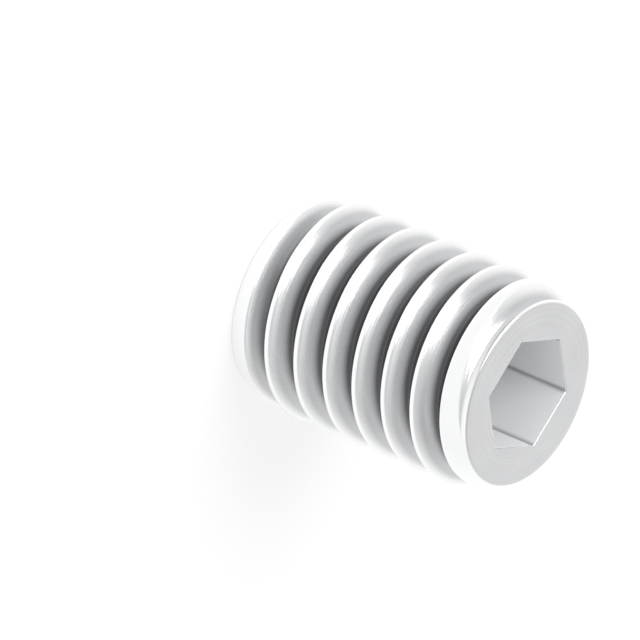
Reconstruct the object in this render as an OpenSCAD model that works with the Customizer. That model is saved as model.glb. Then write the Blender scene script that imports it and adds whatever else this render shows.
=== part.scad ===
// Socket set screw with a flat point: a threaded rod with no head.
// It stands on its flat point, with its axis on Z and its hexagon socket facing up.

/* [Thread] */
// Outside diameter, over the crests of the thread
thread_d = 6; // [5:0.1:8]
// Distance along the axis from one turn of the thread to the next
pitch = 1; // [0.7:0.05:1.1]
// Angle between the two flanks of the groove
flank_angle = 60; // [55:1:65]
// Direction in which the middle of the groove crosses the plane of the flat point
thread_start = -20; // [-180:1:180]
// Length over which the groove climbs out at the point, so that the flat face stays round
point_runout_l = 0.5; // [0.4:0.05:1]
// Length over which the groove climbs out at the socket end
socket_runout_l = 0.3; // [0.25:0.05:1]

/* [Body] */
// Length from the flat point to the socket end
screw_l = 8; // [7:0.5:16]
// Diameter of the flat face at the point
point_d = 5.4; // [4.4:0.1:5.6]
// Length of the taper that leads from the point up to the full diameter
point_taper_l = 1; // [0.4:0.1:1.5]
// Diameter of the flat face round the socket
socket_end_d = 5.15; // [4.6:0.05:5.6]
// Length of the taper that leads from the socket end down to the full diameter
socket_taper_l = 1.1; // [0.4:0.1:1.5]

/* [Hexagon socket] */
// Width across the flats of the socket
socket_af = 3; // [2.5:0.1:3.2]
// Depth of the flats, from the end face
socket_depth = 3.5; // [2:0.1:4]
// Angle of the cone at the bottom of the socket
socket_tip_angle = 120; // [100:2:140]

/* [Hidden] */

steel = [0.86, 0.87, 0.88];

// Steps in one turn of the groove, and the steps that round its bottom
turn_steps = 60;
root_steps = 2;
// Sides of what is turned on the lathe
round_steps = 180;

// The groove has the section of a standard metric thread: a sharp V whose height
// follows from the pitch, cut off at the crest and rounded at the bottom.
v_height = pitch / (2 * tan(flank_angle / 2));
crest_cut = v_height / 8;
root_r = v_height / 6;
v_tip_r = thread_d / 2 + crest_cut - v_height;
groove_bottom_r = v_tip_r + root_r / sin(flank_angle / 2) - root_r;

// The tool is a little taller than the groove, but its turns stay apart
tool_top = crest_cut / 2;
// Metal left between the end of the groove and the rim of each end face
runout_clear = 0.05;
// Turns that the tool makes beyond each end face
spare_turns = 0.75;

// How far the bottom of the groove climbs between the full thread and an end face
function climb(face_d) = max(0, face_d / 2 + runout_clear - groove_bottom_r);

// How far the tool has backed out at a height on the axis
function tool_lift(z) =
    z < point_runout_l ? climb(point_d) * (1 - z / point_runout_l) :
    z > screw_l - socket_runout_l ? climb(socket_end_d) * (1 - (screw_l - z) / socket_runout_l) :
    0;

// Half the width of the V at a distance from the axis
function v_half_w(r) = (r - v_tip_r) * tan(flank_angle / 2);

// The section of the tool, as [distance from the axis, offset along the axis]:
// the rounded bottom, then the two corners outside the thread
root_arc = 90 - flank_angle / 2;
root_centre_r = groove_bottom_r + root_r;
tool_top_r = thread_d / 2 + tool_top;
tool_section = concat(
    [for (k = [0:root_steps])
        let (a = root_arc * (2 * k / root_steps - 1))
        [root_centre_r - root_r * cos(a), root_r * sin(a)]],
    [[tool_top_r, v_half_w(tool_top_r)],
     [tool_top_r, -v_half_w(tool_top_r)]]);

// The section set up at one angle of the helix
function section_at(a) =
    let (z = pitch * (a - thread_start) / 360, lift = tool_lift(z))
    [for (p = tool_section)
        [(p[0] + lift) * cos(a), (p[0] + lift) * sin(a), z + p[1]]];

// The groove, as the space swept by the tool along its helix
module thread_groove() {
    corners = len(tool_section);
    first = thread_start - 360 * spare_turns;
    turns = screw_l / pitch + 2 * spare_turns;
    stations = ceil(turns * turn_steps);
    points = [for (i = [0:stations]) each section_at(first + 360 * i / turn_steps)];
    sides = [for (i = [0:stations - 1], k = [0:corners - 1])
        let (a = i * corners + k, b = i * corners + (k + 1) % corners)
        each [[a, a + corners, b], [b, a + corners, b + corners]]];
    start_cap = [for (k = [0:corners - 1]) k];
    end_cap = [for (k = [corners - 1:-1:0]) stations * corners + k];
    polyhedron(points, concat([start_cap], sides, [end_cap]), convexity = 20);
}

// The turned blank: a rod with a flat face and a taper at each end
module blank() {
    rotate_extrude($fn = round_steps)
        polygon([
            [0, 0],
            [point_d / 2, 0],
            [thread_d / 2, point_taper_l],
            [thread_d / 2, screw_l - socket_taper_l],
            [socket_end_d / 2, screw_l],
            [0, screw_l]]);
}

// The hollow for the key: a hexagon that ends in a cone
module hexagon_socket() {
    above_mouth = 1;
    tip_l = socket_af / 2 / tan(socket_tip_angle / 2);
    translate([0, 0, screw_l - socket_depth])
        cylinder(h = socket_depth + above_mouth, r = socket_af / sqrt(3), $fn = 6);
    translate([0, 0, screw_l - socket_depth - tip_l])
        cylinder(h = tip_l, r1 = 0, r2 = socket_af / 2, $fn = round_steps);
}

module set_screw() {
    color(steel)
        difference() {
            blank();
            thread_groove();
            hexagon_socket();
        }
}

set_screw();
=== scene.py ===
"""Looks for the socket set screw: the threaded piece and its steel, a pale floor, soft light and a camera."""

import math

import bmesh
import bpy
from bpy.props import FloatProperty, FloatVectorProperty, IntProperty, PointerProperty
from bpy.types import Operator, Panel, PropertyGroup
from mathutils import Matrix, Vector


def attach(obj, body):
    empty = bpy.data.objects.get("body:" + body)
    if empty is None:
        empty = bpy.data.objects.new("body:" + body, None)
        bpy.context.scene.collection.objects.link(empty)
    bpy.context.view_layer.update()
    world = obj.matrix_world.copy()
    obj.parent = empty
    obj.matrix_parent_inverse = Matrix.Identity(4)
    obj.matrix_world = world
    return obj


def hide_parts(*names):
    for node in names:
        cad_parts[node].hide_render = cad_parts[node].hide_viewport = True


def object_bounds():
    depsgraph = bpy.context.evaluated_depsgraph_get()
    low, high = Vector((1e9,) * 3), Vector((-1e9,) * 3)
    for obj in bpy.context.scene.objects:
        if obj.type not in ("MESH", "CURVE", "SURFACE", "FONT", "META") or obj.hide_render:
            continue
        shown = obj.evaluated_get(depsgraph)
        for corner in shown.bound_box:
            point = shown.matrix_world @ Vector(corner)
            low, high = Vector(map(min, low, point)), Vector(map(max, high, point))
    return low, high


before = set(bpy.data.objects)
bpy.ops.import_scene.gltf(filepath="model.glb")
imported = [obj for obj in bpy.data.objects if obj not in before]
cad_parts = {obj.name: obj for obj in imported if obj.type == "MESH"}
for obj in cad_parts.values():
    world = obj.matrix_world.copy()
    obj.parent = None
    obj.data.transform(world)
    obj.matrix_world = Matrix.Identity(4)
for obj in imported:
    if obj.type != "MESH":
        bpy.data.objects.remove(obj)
CAD_LOW, CAD_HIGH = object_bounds()

bl_info = {
    "name": "Socket set screw",
    "version": (1, 0, 0),
    "blender": (4, 5, 0),
    "location": "3D View > Sidebar > Set screw",
    "description": "Builds a socket set screw with its steel, and a small studio round it",
    "category": "Add Mesh",
}

MM = 0.001
NODE = "set_screw"
BODY = "root"

# Rows of the thread's profile, from the bottom of the groove out to the crest's
# corner and then to the middle of the land, each as a share of its own stretch
GROOVE_ROWS = (0, 0.1, 0.2, 0.29, 0.42, 0.56, 0.7, 0.82, 0.91, 0.96, 1)
LAND_ROWS = (0.25, 0.6, 1)
HALF_ROWS = len(GROOVE_ROWS) + len(LAND_ROWS)
# Halvings of the pitch when looking for the crease between a flank and the land
CREASE_HALVINGS = 30

# Rings next to an edge of an end face, which keep its shading flat, as shares of that edge's size
INSIDE_RIM = 0.99
OUTSIDE_MOUTH = 1.01
# Rings of the flat point, as shares of the radius inside its rim
POINT_RINGS = (INSIDE_RIM, 0.7, 0.4, 0.1)
# Rings of the socket's walls, as shares of its depth
WALL_RINGS = (0.02, 0.35, 0.7, 1)
# The top of the cone, as a share of the socket's half width, so that it stays clear of the flats
CONE_SHARE = 0.985
# Rings of the cone, as shares of its radius, and the small one that is drawn together to the tip
CONE_RINGS = (1, 0.6, 0.2)
TIP_RING = 0.05

# Points this close together are one
WELD = 0.0005 * MM
# Edges that turn by more than this stay sharp
SHARP_TURN = math.radians(35)

THREAD_STEEL, FACE_STEEL, SOCKET_STEEL = range(3)

# The attribute that holds how deep each point of the thread lies below the rod's surface
DEPTH = "groove_depth"

# Lumps of noise to a millimetre, along the three directions that each kind of mark follows
CLOUD_SCALES = (0.6, 0.6, 0.6)
THREAD_LINE_SCALES = (0.5, 0.5, 45)
FACE_RING_SCALES = (0.2, 0.2, 17)
BROACH_MARK_SCALES = (14, 14, 0.5)

# How far the clouds move the edge of the painted shade, in millimetres
SHADE_WANDER = 0.05
# How fast the painted shade in the groove thins out up the flank
SHADE_FADE = 2.5
# Depths below the crests, in millimetres, at which the wear and the painted highlight end and above which
# they are full
WEAR_AND_HIGHLIGHT_END = 0.26
WEAR_AND_HIGHLIGHT_FULL = 0.04
# How much each thing adds to the roughness of the steel
CLOUD_ROUGHNESS = 0.1
PAINTED_SHADE_ROUGHNESS = 0.2
WEAR_ROUGHNESS = -0.06
SOCKET_ROUGHNESS = 0.28
# The walls of the socket scatter light more than they mirror it
SOCKET_METALLIC = 0.15

# The inputs and the output of a Mix node that mixes colours
MIX_FACTOR, MIX_FIRST, MIX_SECOND = 0, 6, 7
MIX_RESULT = 2

FLOOR_RADIUS = 600 * MM
FLOOR_SIDES = 96
# How far the floor lies under the point, so that the two don't share a plane
FLOOR_DROP = 0.002 * MM
# Upward parts of the direction between which the surroundings go from horizon to zenith
HORIZON_UP = 0.35
ZENITH_UP = 0.95
CLIP_NEAR = 1 * MM
CLIP_FAR = 2000 * MM


def length(name, description, default):
    """A size in metres."""
    return FloatProperty(
        name=name,
        description=description,
        default=default,
        min=0,
        precision=6,
        subtype="DISTANCE",
        unit="LENGTH",
    )


def turn(name, description, degrees):
    """An angle, given in degrees and kept in radians."""
    return FloatProperty(
        name=name, description=description, default=math.radians(degrees), subtype="ANGLE", unit="ROTATION"
    )


def share(name, description, default):
    """A plain number that isn't negative."""
    return FloatProperty(name=name, description=description, default=default, min=0, precision=3)


def colour(name, description, default):
    """A linear colour."""
    return FloatVectorProperty(
        name=name, description=description, default=default, min=0, max=1, size=3, subtype="COLOR"
    )


class ScrewSizes(PropertyGroup):
    """The sizes of the screw. Its length and diameter come from the bounds of the parts in model.glb."""

    screw_l: length("Length", "From the flat point to the socket end", CAD_HIGH.z - CAD_LOW.z)
    thread_d: length("Thread diameter", "Over the crests", CAD_HIGH.x - CAD_LOW.x)
    pitch: length("Pitch", "Along the axis from one turn to the next", 1 * MM)
    flank_angle: turn("Flank angle", "Between the two flanks of the groove", 60)
    thread_start: turn("Thread start", "Where the groove crosses the plane of the point", -20)
    point_d: length("Point diameter", "Of the flat face at the point", 5.4 * MM)
    point_taper_l: length("Point taper", "Length of the taper at the point", 1 * MM)
    socket_end_d: length("Socket end diameter", "Of the flat face round the socket", 5.15 * MM)
    socket_taper_l: length("Socket end taper", "Length of the taper at the socket end", 1.1 * MM)
    point_runout_l: length("Run-out at the point", "Length over which the groove climbs out", 0.5 * MM)
    socket_runout_l: length("Run-out at the socket end", "Length over which the groove climbs out", 0.3 * MM)
    runout_clear: length("Run-out clearance", "Between the end of the groove and the end face", 0.05 * MM)
    socket_af: length("Socket width", "Across the flats of the hexagon", 3 * MM)
    socket_depth: length("Socket depth", "Depth of the flats", 3.5 * MM)
    socket_tip_angle: turn("Socket tip angle", "Of the cone at the bottom of the socket", 120)
    rim_round: length("Rim rounding", "Radius where the tapers meet the end faces", 0.05 * MM)
    mouth_round: length("Mouth rounding", "Radius round the mouth of the hexagon", 0.03 * MM)
    crest_round: length("Crest rounding", "Depth over which crest and flank blend", 0.05 * MM)
    turn_steps: IntProperty(name="Steps in a turn", description="Faces round the screw", default=180, min=12)


class ScrewFinish(PropertyGroup):
    """The colours and the wear of the steel, with the painted shade in its hollows and the painted highlight
    on its crests.
    """

    steel: colour("Steel", "The bright steel", (0.62, 0.625, 0.635))
    # Brighter steel: on the crests partly wear and partly a painted highlight, and on the face and socket the
    # light end of the steel's own tone
    worn_and_highlight: colour("Worn_and_highlight steel", "The steel of the crests, polished by handling", (0.95, 0.955, 0.96))
    # Painted shade: a near-black colour laid into the bottom of the thread and the corners of the socket,
    # where shade falls
    painted_shade: colour("Painted_shade", "The dark film left at the bottom of the thread", (0.07, 0.07, 0.075))
    painted_shade_l: length("Film height", "How far the film reaches up from the bottom of the thread", 0.32 * MM)
    painted_shade_share: share("Film share", "How much of the film is left on the flanks", 0.9)
    painted_shade_line: length("Film line", "Depth of the darkest line, at the bottom of the thread", 0.04 * MM)
    corner_shade_l: length("Corner film", "Width of the film in the corners of the socket", 0.16 * MM)
    corner_shade_share: share("Corner film share", "How much film is left in the corners of the socket", 0.6)
    roughness: share("Roughness", "Of the bright steel", 0.22)
    mark_depth: length("Mark depth", "Depth of the marks that the tools leave", 0.003 * MM)


class StudioSettings(PropertyGroup):
    """The floor, the light and the camera."""

    floor: colour("Floor", "The pale floor", (0.94, 0.94, 0.94))
    floor_lift: share("Floor lift", "How far the floor is lifted towards plain white", 0.7)
    horizon: share("Horizon", "Brightness of the surroundings at the height of the screw", 1.0)
    zenith: share("Zenith", "Brightness of the surroundings overhead", 0.62)
    key_power: share("Key light", "Power of the large soft light, in watts", 0.16)
    key_side: length("Key light size", "Side of the square soft light", 100 * MM)
    key_distance: length("Key light distance", "From the screw to the light", 150 * MM)
    key_bearing: turn("Key light bearing", "Direction of the light, round from the X axis", 225)
    key_height: turn("Key light height", "Height of the light above the floor's plane", 55)
    azimuth: turn("Azimuth", "Direction from which the camera looks", 13.9)
    elevation: turn("Elevation", "Height of the camera above the floor's plane", 33)
    roll: turn("Roll", "Turn of the picture, which lays the screw on its side in it", 113)
    distance: length("Distance", "From the screw to the camera", 120 * MM)
    image_side: IntProperty(name="Image side", description="Pixels across the picture", default=640, min=1)
    pixels_per_mm: share("Pixels to a millimetre", "Scale of the picture", 37.6)
    face_x: share("Face across", "Pixel of the middle of the socket end, from the left", 527.8)
    face_y: share("Face down", "Pixel of the middle of the socket end, from the top", 394.3)


def blended(radius, other, depth):
    """The lesser of two radii, with the corner between them rounded off."""
    if depth <= 0:
        return min(radius, other)
    mix = min(max(0.5 + (other - radius) / (2 * depth), 0), 1)
    return other + (radius - other) * mix - depth * mix * (1 - mix)


class ThreadForm:
    """Where the surface of the thread lies, worked out from the sizes."""

    def __init__(self, sizes):
        self.sizes = sizes
        self.radius = sizes.thread_d / 2
        half_flank = sizes.flank_angle / 2
        self.slope = 1 / math.tan(half_flank)
        v_height = sizes.pitch / 2 * self.slope
        # A metric thread lacks an eighth of its V at the crest, and is rounded by a sixth at the bottom
        self.root_round = v_height / 6
        self.root_half_w = self.root_round * math.cos(half_flank)
        self.v_tip = self.radius + v_height / 8 - v_height
        self.bottom = self.v_tip + self.root_round / math.sin(half_flank) - self.root_round
        self.point_rim = RimArc(sizes.point_d / 2, self.radius, sizes.point_taper_l, sizes.rim_round)
        self.socket_rim = RimArc(sizes.socket_end_d / 2, self.radius, sizes.socket_taper_l, sizes.rim_round)
        spare_turns = 1 + math.ceil(abs(sizes.thread_start) / math.tau)
        self.first = -sizes.pitch * (spare_turns + sizes.thread_start / math.tau)
        self.turns = math.ceil((sizes.screw_l - self.first) / sizes.pitch) + 1

    def blank_radius(self, z):
        """Distance from the axis to the rod's surface, before the thread is cut."""
        sizes = self.sizes
        point_r = sizes.point_d / 2
        socket_r = sizes.socket_end_d / 2
        at_point = point_r + (self.radius - point_r) * z / sizes.point_taper_l
        at_socket = socket_r + (self.radius - socket_r) * (sizes.screw_l - z) / sizes.socket_taper_l
        return min(self.radius, at_point, at_socket)

    def lift(self, z):
        """How far the groove has climbed out at this height, near the end faces."""
        sizes = self.sizes
        point_climb = sizes.point_d / 2 + sizes.runout_clear - self.bottom
        socket_climb = sizes.socket_end_d / 2 + sizes.runout_clear - self.bottom
        near_point = point_climb * (1 - z / sizes.point_runout_l)
        near_socket = socket_climb * (1 - (sizes.screw_l - z) / sizes.socket_runout_l)
        return max(0, near_point, near_socket)

    def groove_radius(self, offset):
        """Distance from the axis to the groove's surface, at an offset from its middle."""
        if abs(offset) < self.root_half_w:
            return self.bottom + self.root_round - math.sqrt(self.root_round**2 - offset**2)
        return self.v_tip + abs(offset) * self.slope

    def crease(self, middle, side):
        """How far from the groove's middle, on one side, its flank meets the rod's surface."""
        lift = self.lift(middle)
        near = 0
        far = self.sizes.pitch / 2
        for _ in range(CREASE_HALVINGS):
            width = (near + far) / 2
            if self.groove_radius(width) + lift < self.blank_radius(middle + side * width):
                near = width
            else:
                far = width
        return near

    def half_profile(self, middle, side, land):
        """Points from the middle of a groove to the middle of the land beside it."""
        width = self.crease(middle, side)
        offsets = [width * part for part in GROOVE_ROWS]
        offsets += [width + (land - width) * part for part in LAND_ROWS]
        return [self.surface(middle, side * offset) for offset in offsets]

    def surface(self, middle, offset):
        """One point, as its distance from the axis and its height."""
        z = middle + offset
        low = self.point_rim.start_z
        high = self.sizes.screw_l - self.socket_rim.start_z
        if z <= low or z >= high:
            z = min(max(z, low), high)
            return self.blank_radius(z), z
        lift = self.lift(middle)
        depth = self.blank_radius(middle) - self.bottom - lift
        rounding = min(self.sizes.crest_round, max(depth, 0) / 2)
        return blended(self.blank_radius(z), self.groove_radius(offset) + lift, rounding), z

    def profile(self, turns):
        """The points of one pitch, from one groove's bottom to the next, after so many turns."""
        below = self.first + self.sizes.pitch * turns
        above = below + self.sizes.pitch
        land = (self.sizes.pitch + self.crease(below, 1) - self.crease(above, -1)) / 2
        lower = self.half_profile(below, 1, land)
        upper = self.half_profile(above, -1, self.sizes.pitch - land)
        return lower + upper[-2::-1]


class RimArc:
    """The small rounding where a taper meets an end face. Heights are measured in from the face."""

    STEPS = 4

    def __init__(self, face_r, full_r, taper_l, rounding):
        self.lean = math.atan2(full_r - face_r, taper_l)
        self.rounding = rounding
        self.start_z = rounding * (1 - math.sin(self.lean))
        start_r = face_r + self.start_z * math.tan(self.lean)
        self.centre_r = start_r - rounding * math.cos(self.lean)

    def points(self):
        """Distance from the axis and height of each ring, from the taper to the face."""
        quarter = math.pi / 2
        for step in range(1, self.STEPS + 1):
            bend = self.lean + (quarter - self.lean) * step / self.STEPS
            yield self.centre_r + self.rounding * math.cos(bend), self.rounding * (1 - math.sin(bend))


def hexagon_radius(bearing, across_flats):
    """Distance from the middle of a hexagon to its outline. Two of its corners lie on the X axis."""
    side = math.tau / 6
    return across_flats / 2 / math.cos(bearing % side - side / 2)


def spun_thread(bm, form):
    """The threaded surface: one pitch of profile spun up a helix, with each point then put in its place."""
    sizes = form.sizes
    rows = 2 * HALF_ROWS - 1
    rise = sizes.pitch / sizes.turn_steps
    depth_of = bm.verts.layers.float.new(DEPTH)
    row_of = bm.verts.layers.int.new("row")
    verts = []
    for row in range(rows):
        vert = bm.verts.new((form.radius, 0, form.first + sizes.pitch * row / (rows - 1)))
        vert[row_of] = row
        verts.append(vert)
    edges = [bm.edges.new(pair) for pair in zip(verts, verts[1:])]
    helix = {"cent": (0, 0, 0), "axis": (0, 0, 1), "use_merge": False}
    sweep = {"angle": math.tau, "steps": sizes.turn_steps, "dvec": (0, 0, rise), "use_duplicate": False}
    bmesh.ops.spin(bm, geom=verts + edges, **helix, **sweep)
    one_turn = [*bm.verts, *bm.edges, *bm.faces]
    repeat = {"angle": 0, "steps": form.turns - 1, "dvec": (0, 0, sizes.pitch), "use_duplicate": True}
    bmesh.ops.spin(bm, geom=one_turn, **helix, **repeat)
    profiles = [form.profile(step / sizes.turn_steps) for step in range(sizes.turn_steps * form.turns + 1)]
    for vert in bm.verts:
        row = vert[row_of]
        step = round((vert.co.z - form.first - sizes.pitch * row / (rows - 1)) / rise)
        bearing = math.tau * (step % sizes.turn_steps) / sizes.turn_steps
        radius, z = profiles[step][row]
        vert.co = (radius * math.cos(bearing), radius * math.sin(bearing), z)
        vert[depth_of] = form.blank_radius(z) - radius
    bm.verts.layers.int.remove(row_of)
    bmesh.ops.remove_doubles(bm, verts=bm.verts, dist=WELD)


def open_rim(bm, above):
    """The open ring of edges at the end above or below the screw's middle."""
    middle = (CAD_LOW.z + CAD_HIGH.z) / 2
    return [e for e in bm.edges if e.is_boundary and (e.verts[0].co.z > middle) == above]


def add_ring(bm, ring, radius_at, z, material):
    """Extrudes a ring of edges to a new ring at height z. radius_at gives its radius at each bearing."""
    grown = bmesh.ops.extrude_edge_only(bm, edges=ring)["geom"]
    verts = {g for g in grown if isinstance(g, bmesh.types.BMVert)}
    for vert in verts:
        bearing = math.atan2(vert.co.y, vert.co.x)
        radius = radius_at(bearing)
        vert.co = (radius * math.cos(bearing), radius * math.sin(bearing), z)
    for face in grown:
        if isinstance(face, bmesh.types.BMFace):
            face.material_index = material
    return [g for g in grown if isinstance(g, bmesh.types.BMEdge) and set(g.verts) <= verts]


def add_circle(bm, ring, radius, z, material):
    """A new ring that is a circle."""
    return add_ring(bm, ring, lambda bearing: radius, z, material)


def add_hexagon(bm, ring, across_flats, z, material):
    """A new ring that is a hexagon."""
    return add_ring(bm, ring, lambda bearing: hexagon_radius(bearing, across_flats), z, material)


def close_point(bm, form):
    """The rounded rim and the flat face at the point."""
    ring = open_rim(bm, above=False)
    for radius, z in form.point_rim.points():
        ring = add_circle(bm, ring, radius, z, FACE_STEEL)
    for part in POINT_RINGS:
        ring = add_circle(bm, ring, form.point_rim.centre_r * part, 0, FACE_STEEL)
    for face in bmesh.ops.holes_fill(bm, edges=ring)["faces"]:
        face.material_index = FACE_STEEL


def close_socket_end(bm, form):
    """The rounded rim, the flat face and the socket with its cone."""
    sizes = form.sizes
    ring = open_rim(bm, above=True)
    for radius, z in form.socket_rim.points():
        ring = add_circle(bm, ring, radius, sizes.screw_l - z, FACE_STEEL)
    ring = add_circle(bm, ring, form.socket_rim.centre_r * INSIDE_RIM, sizes.screw_l, FACE_STEEL)
    mouth_af = sizes.socket_af + 2 * sizes.mouth_round
    ring = add_hexagon(bm, ring, mouth_af * OUTSIDE_MOUTH, sizes.screw_l, FACE_STEEL)
    ring = add_hexagon(bm, ring, mouth_af, sizes.screw_l, FACE_STEEL)
    mouth_steps = 4
    for step in range(1, mouth_steps + 1):
        bend = math.pi / 2 * step / mouth_steps
        width = mouth_af - 2 * sizes.mouth_round * math.sin(bend)
        drop = sizes.mouth_round * (1 - math.cos(bend))
        ring = add_hexagon(bm, ring, width, sizes.screw_l - drop, FACE_STEEL)
    for part in WALL_RINGS:
        ring = add_hexagon(bm, ring, sizes.socket_af, sizes.screw_l - sizes.socket_depth * part, SOCKET_STEEL)
    cone_r = sizes.socket_af / 2 * CONE_SHARE
    cone_l = cone_r / math.tan(sizes.socket_tip_angle / 2)
    for part in CONE_RINGS:
        z = sizes.screw_l - sizes.socket_depth - cone_l * (1 - part)
        ring = add_circle(bm, ring, cone_r * part, z, SOCKET_STEEL)
    tip = Vector((0, 0, sizes.screw_l - sizes.socket_depth - cone_l))
    last = add_circle(bm, ring, cone_r * TIP_RING, tip.z, SOCKET_STEEL)
    bmesh.ops.pointmerge(bm, verts=list({v for e in last for v in e.verts}), merge_co=tip)


def screw_mesh(form):
    """The whole screw as one closed mesh."""
    bm = bmesh.new()
    spun_thread(bm, form)
    close_point(bm, form)
    close_socket_end(bm, form)
    bmesh.ops.recalc_face_normals(bm, faces=bm.faces)
    for face in bm.faces:
        face.smooth = True
    for edge in bm.edges:
        edge.smooth = edge.calc_face_angle(0) < SHARP_TURN
    mesh = bpy.data.meshes.new("set_screw_mesh")
    bm.to_mesh(mesh)
    bm.free()
    return mesh


class Wire:
    """One output of a shader node, so that maths on it reads as Python."""

    def __init__(self, board, socket):
        self.board = board
        self.socket = socket

    def maths(self, operation, first, second=0.0):
        """A Math node on two values."""
        return self.board.add("ShaderNodeMath", {"operation": operation}, {0: first, 1: second})

    def __add__(self, other):
        return self.maths("ADD", self, other)

    def __radd__(self, other):
        return self.maths("ADD", other, self)

    def __sub__(self, other):
        return self.maths("SUBTRACT", self, other)

    def __rsub__(self, other):
        return self.maths("SUBTRACT", other, self)

    def __mul__(self, other):
        return self.maths("MULTIPLY", self, other)

    def __rmul__(self, other):
        return self.maths("MULTIPLY", other, self)

    def __truediv__(self, other):
        return self.maths("DIVIDE", self, other)

    def __rtruediv__(self, other):
        return self.maths("DIVIDE", other, self)

    def __pow__(self, other):
        return self.maths("POWER", self, other)

    def __rpow__(self, other):
        return self.maths("POWER", other, self)

    def or_more(self, other):
        """The greater of two values."""
        return self.maths("MAXIMUM", self, other)

    def or_less(self, other):
        """The lesser of two values."""
        return self.maths("MINIMUM", self, other)


class Board:
    """The node tree of a material or a world."""

    def __init__(self, owner):
        owner.use_nodes = True
        self.tree = owner.node_tree
        self.tree.nodes.clear()

    def node(self, kind, settings=None, inputs=None):
        """A new node, with its settings first and then the values or wires of its inputs."""
        node = self.tree.nodes.new(kind)
        for name, value in (settings or {}).items():
            setattr(node, name, value)
        for name, value in (inputs or {}).items():
            if isinstance(value, Wire):
                self.tree.links.new(value.socket, node.inputs[name])
            else:
                node.inputs[name].default_value = value
        return node

    def add(self, kind, settings=None, inputs=None, output=0):
        """The wire from one output of a new node."""
        return Wire(self, self.node(kind, settings, inputs).outputs[output])

    def ramp(self, value, start, end, low=0.0, high=1.0):
        """A smooth step from low to high as the value goes from start to end."""
        settings = {"interpolation_type": "SMOOTHSTEP"}
        places = {"Value": value, "From Min": start, "From Max": end, "To Min": low, "To Max": high}
        return self.add("ShaderNodeMapRange", settings, places)

    def mix(self, factor, first, second):
        """A colour between two colours."""
        places = {MIX_FACTOR: factor, MIX_FIRST: first, MIX_SECOND: second}
        return self.add("ShaderNodeMix", {"data_type": "RGBA"}, places, MIX_RESULT)

    def noise(self, places, scales, detail):
        """Cloudy noise from nothing to one, over three places that are each stretched by a scale."""
        x, y, z = (place * scale for place, scale in zip(places, scales))
        vector = self.add("ShaderNodeCombineXYZ", None, {"X": x, "Y": y, "Z": z})
        inputs = {"Vector": vector, "Scale": 1.0, "Detail": detail, "Roughness": 0.5}
        return self.add("ShaderNodeTexNoise", None, inputs)


def opaque(shade):
    """A colour with its fourth number."""
    return (*shade, 1.0)


class SteelBoard(Board):
    """The nodes that all the steel of the screw shares. Places are in millimetres."""

    def __init__(self, name, finish):
        self.material = bpy.data.materials.new(name)
        super().__init__(self.material)
        self.finish = finish
        place = self.add("ShaderNodeTexCoord", output="Object")
        parts = self.node("ShaderNodeSeparateXYZ", None, {0: place})
        self.x, self.y, self.z = (Wire(self, socket) / MM for socket in parts.outputs)
        self.radius = (self.x * self.x + self.y * self.y) ** 0.5
        self.clouds = self.noise((self.x, self.y, self.z), CLOUD_SCALES, detail=4.0)

    def finish_with(self, shade, roughness, height, metallic=1.0):
        """The steel's own shader, from a colour, a roughness and the height of the marks."""
        relief = {"Strength": 1.0, "Distance": self.finish.mark_depth, "Height": height}
        bump = self.add("ShaderNodeBump", None, relief)
        look = {"Base Color": shade, "Metallic": metallic, "Roughness": roughness, "Normal": bump}
        shader = self.add("ShaderNodeBsdfPrincipled", None, look)
        self.node("ShaderNodeOutputMaterial", None, {"Surface": shader})
        return self.material


def thread_steel(finish, form):
    """Rolled steel: brighter on the crests, partly from wear and partly a painted highlight, with painted
    shade at the bottom of the groove.
    """
    board = SteelBoard("thread_steel", finish)
    full_depth = (form.radius - form.bottom) / MM
    depth = Wire(board, board.node("ShaderNodeAttribute", {"attribute_name": DEPTH}).outputs["Fac"]) / MM
    # Painted shade: a dark colour up the flanks from the bottom of the groove, darkest in a line at the very
    # bottom
    edge = depth + board.clouds * SHADE_WANDER
    flank_painted_shade = board.ramp(edge, full_depth - finish.painted_shade_l / MM, full_depth) ** SHADE_FADE
    line = finish.painted_shade_line / MM
    bottom_painted_shade = board.ramp(depth, full_depth - line, full_depth - line / 5)
    painted_shade = (flank_painted_shade * finish.painted_shade_share).or_more(bottom_painted_shade)
    # Crests brighter than the flanks: partly wear, partly a painted highlight
    wear_and_highlight = board.ramp(depth, WEAR_AND_HIGHLIGHT_END, WEAR_AND_HIGHLIGHT_FULL)
    bright = board.mix(wear_and_highlight, opaque(finish.steel), opaque(finish.worn_and_highlight))
    shade = board.mix(painted_shade, bright, opaque(finish.painted_shade))
    lines = board.noise((board.x, board.y, board.radius), THREAD_LINE_SCALES, detail=3.0)
    rubbed = painted_shade * PAINTED_SHADE_ROUGHNESS + wear_and_highlight * WEAR_ROUGHNESS
    roughness = finish.roughness + board.clouds * CLOUD_ROUGHNESS + rubbed
    return board.finish_with(shade, roughness, lines)


def face_steel(finish):
    """A turned end face, with fine rings round the axis."""
    board = SteelBoard("face_steel", finish)
    rings = board.noise((board.x, board.y, board.radius), FACE_RING_SCALES, detail=2.0)
    brightness = board.clouds * 0.4 + rings * 0.3
    shade = board.mix(brightness, opaque(finish.steel), opaque(finish.worn_and_highlight))
    roughness = finish.roughness + rings * 0.1
    return board.finish_with(shade, roughness, rings * 0.6)


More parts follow.
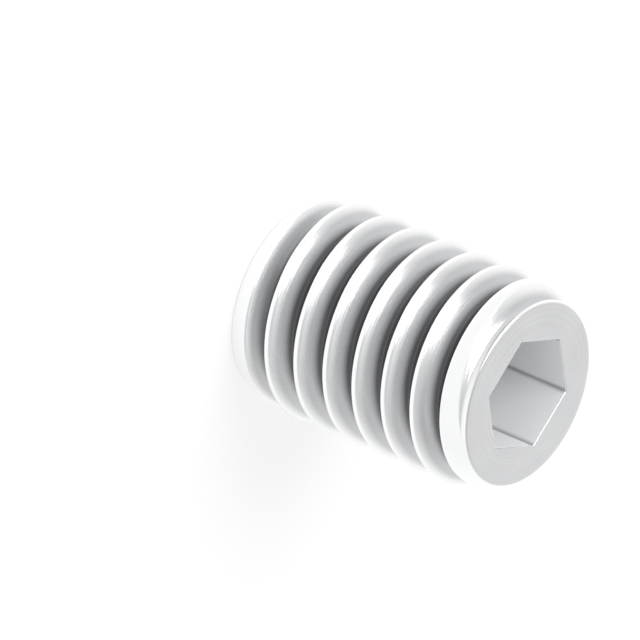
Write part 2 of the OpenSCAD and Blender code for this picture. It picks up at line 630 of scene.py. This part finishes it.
def socket_steel(finish, sizes):
    """The socket, with marks down its depth from the broach and painted shade in its corners."""
    board = SteelBoard("socket_steel", finish)
    marks = board.noise((board.x, board.y, board.z), BROACH_MARK_SCALES, detail=3.0)
    bearing = board.add("ShaderNodeMath", {"operation": "ARCTAN2"}, {0: board.y, 1: board.x})
    turned = bearing.maths("PINGPONG", bearing, math.tau / 12)
    # Painted shade: darker colour along the corners between the flats and round the bottom of the walls
    corner_r = sizes.socket_af / math.sqrt(3) / MM
    off_corner = 2 * corner_r * board.radius * turned.maths("COSINE", turned)
    from_corner = (board.radius * board.radius + corner_r**2 - off_corner) ** 0.5
    above_bottom = board.z - (sizes.screw_l - sizes.socket_depth) / MM
    from_bottom = above_bottom.or_more(0 - above_bottom)
    edge = from_corner.or_less(from_bottom) + board.clouds * SHADE_WANDER
    corners = board.ramp(edge, finish.corner_shade_l / MM, 0.0)
    brightness = board.clouds * 0.3 + 0.35
    wall = board.mix(brightness, opaque(finish.steel), opaque(finish.worn_and_highlight))
    shade = board.mix(corners * finish.corner_shade_share, wall, opaque(finish.painted_shade))
    roughness = finish.roughness + SOCKET_ROUGHNESS + marks * 0.1
    return board.finish_with(shade, roughness, marks, SOCKET_METALLIC)


def new_object(name, data):
    """An object at the origin, in the scene."""
    item = bpy.data.objects.new(name, data)
    bpy.context.scene.collection.objects.link(item)
    return item


class SETSCREW_OT_build_screw(Operator):
    """Build the threaded screw with its socket, and give it its steel"""

    bl_idname = "set_screw.build_screw"
    bl_label = "Screw"

    def execute(self, context):
        sizes = context.scene.set_screw_sizes
        finish = context.scene.set_screw_finish
        if any(size <= 0 for size in (sizes.pitch, sizes.screw_l, sizes.thread_d)):
            raise ValueError("the screw needs a length, a diameter and a pitch")
        form = ThreadForm(sizes)
        mesh = screw_mesh(form)
        mesh.materials.append(thread_steel(finish, form))
        mesh.materials.append(face_steel(finish))
        mesh.materials.append(socket_steel(finish, sizes))
        screw = new_object("threaded_screw", mesh)
        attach(screw, BODY)
        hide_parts(NODE)
        return {"FINISHED"}


def floor_material(studio):
    """A pale floor that is seen close to white with its shadow kept, and isn't seen from below."""
    material = bpy.data.materials.new("pale_floor")
    board = Board(material)
    paths = board.node("ShaderNodeLightPath").outputs
    seen = Wire(board, paths["Is Camera Ray"]).or_more(Wire(board, paths["Is Glossy Ray"]))
    seen = seen.or_more(Wire(board, paths["Is Transmission Ray"]))
    matt = board.add("ShaderNodeBsdfDiffuse", None, {"Color": opaque(studio.floor)})
    white = board.add("ShaderNodeEmission", None, {"Color": (1, 1, 1, 1), "Strength": 1.0})
    lifted = board.add("ShaderNodeMixShader", None, {0: seen * studio.floor_lift, 1: matt, 2: white})
    below = Wire(board, board.node("ShaderNodeNewGeometry").outputs["Backfacing"])
    clear = board.add("ShaderNodeBsdfTransparent")
    mixed = board.add("ShaderNodeMixShader", None, {0: below, 1: lifted, 2: clear})
    board.node("ShaderNodeOutputMaterial", None, {"Surface": mixed})
    return material


def add_floor(studio):
    """A wide round floor just under the point of the screw."""
    bm = bmesh.new()
    bmesh.ops.create_circle(bm, cap_ends=True, segments=FLOOR_SIDES, radius=FLOOR_RADIUS)
    bmesh.ops.translate(bm, verts=bm.verts, vec=(0, 0, CAD_LOW.z - FLOOR_DROP))
    mesh = bpy.data.meshes.new("floor_mesh")
    bm.to_mesh(mesh)
    bm.free()
    mesh.materials.append(floor_material(studio))
    new_object("floor", mesh)


def add_surroundings(studio):
    """Surroundings that are white at the height of the screw and greyer overhead."""
    world = bpy.data.worlds.new("studio")
    bpy.context.scene.world = world
    board = Board(world)
    looking = board.add("ShaderNodeTexCoord", output="Generated")
    height = board.add("ShaderNodeSeparateXYZ", None, {0: looking}, "Z")
    level = board.ramp(height, HORIZON_UP, ZENITH_UP, studio.horizon, studio.zenith)
    seen = board.add("ShaderNodeLightPath", output="Is Camera Ray")
    strength = level + seen * (1 - level)
    background = board.add("ShaderNodeBackground", None, {"Color": (1, 1, 1, 1), "Strength": strength})
    board.node("ShaderNodeOutputWorld", None, {"Surface": background})


def direction(bearing, height):
    """The unit vector at a bearing round from the X axis and a height above the floor's plane."""
    level = math.cos(height)
    return Vector((math.cos(bearing) * level, math.sin(bearing) * level, math.sin(height)))


def add_key_light(studio):
    """A square soft light that shines on the screw."""
    away = direction(studio.key_bearing, studio.key_height)
    lamp = bpy.data.lights.new("key_light", "AREA")
    lamp.energy = studio.key_power
    lamp.size = studio.key_side
    light = new_object("key_light", lamp)
    light.location = (CAD_LOW + CAD_HIGH) / 2 + away * studio.key_distance
    light.rotation_mode = "QUATERNION"
    light.rotation_quaternion = away.to_track_quat("Z", "Y")


def add_camera(studio, sizes):
    """A camera without perspective, turned so that the screw lies on its side in the picture."""
    quarter = math.pi / 2
    back = direction(studio.azimuth - quarter, studio.elevation)
    level = direction(studio.azimuth, 0)
    climb = back.cross(level)
    right = level * math.cos(studio.roll) + climb * math.sin(studio.roll)
    up = climb * math.cos(studio.roll) - level * math.sin(studio.roll)
    pixel = MM / studio.pixels_per_mm
    middle = studio.image_side / 2
    face = Vector((0, 0, sizes.screw_l))
    aim = face + right * (middle - studio.face_x) * pixel - up * (middle - studio.face_y) * pixel
    lens = bpy.data.cameras.new("camera")
    lens.type = "ORTHO"
    lens.ortho_scale = studio.image_side * pixel
    lens.clip_start = CLIP_NEAR
    lens.clip_end = CLIP_FAR
    camera = new_object("camera", lens)
    turned = Matrix((right, up, back)).transposed().to_4x4()
    camera.matrix_world = Matrix.Translation(aim + back * studio.distance) @ turned
    bpy.context.scene.camera = camera


class SETSCREW_OT_build_stage(Operator):
    """Build the floor, the light and the camera"""

    bl_idname = "set_screw.build_stage"
    bl_label = "Stage"

    def execute(self, context):
        studio = context.scene.set_screw_studio
        if studio.pixels_per_mm <= 0:
            raise ValueError("the camera needs a scale above zero")
        add_floor(studio)
        add_surroundings(studio)
        add_key_light(studio)
        add_camera(studio, context.scene.set_screw_sizes)
        context.scene.view_settings.view_transform = "Standard"
        return {"FINISHED"}


class SETSCREW_PT_panel(Panel):
    """The operators and settings of the set screw"""

    bl_label = "Set screw"
    bl_idname = "SETSCREW_PT_panel"
    bl_space_type = "VIEW_3D"
    bl_region_type = "UI"
    bl_category = "Set screw"

    def draw(self, context):
        for operator in OPERATORS:
            self.layout.operator(operator.bl_idname)
        for name in SETTINGS:
            settings = getattr(context.scene, name)
            box = self.layout.box()
            for field in settings.__annotations__:
                box.prop(settings, field)


OPERATORS = (SETSCREW_OT_build_screw, SETSCREW_OT_build_stage)
SETTINGS = {
    "set_screw_sizes": ScrewSizes,
    "set_screw_finish": ScrewFinish,
    "set_screw_studio": StudioSettings,
}


def register():
    for kind in (*SETTINGS.values(), *OPERATORS, SETSCREW_PT_panel):
        bpy.utils.register_class(kind)
    for name, kind in SETTINGS.items():
        setattr(bpy.types.Scene, name, PointerProperty(type=kind))


def unregister():
    for name in SETTINGS:
        delattr(bpy.types.Scene, name)
    for kind in (SETSCREW_PT_panel, *OPERATORS, *SETTINGS.values()):
        bpy.utils.unregister_class(kind)


def main():
    register()
    bpy.ops.set_screw.build_screw()
    bpy.ops.set_screw.build_stage()


if __name__ == "__main__":
    main()
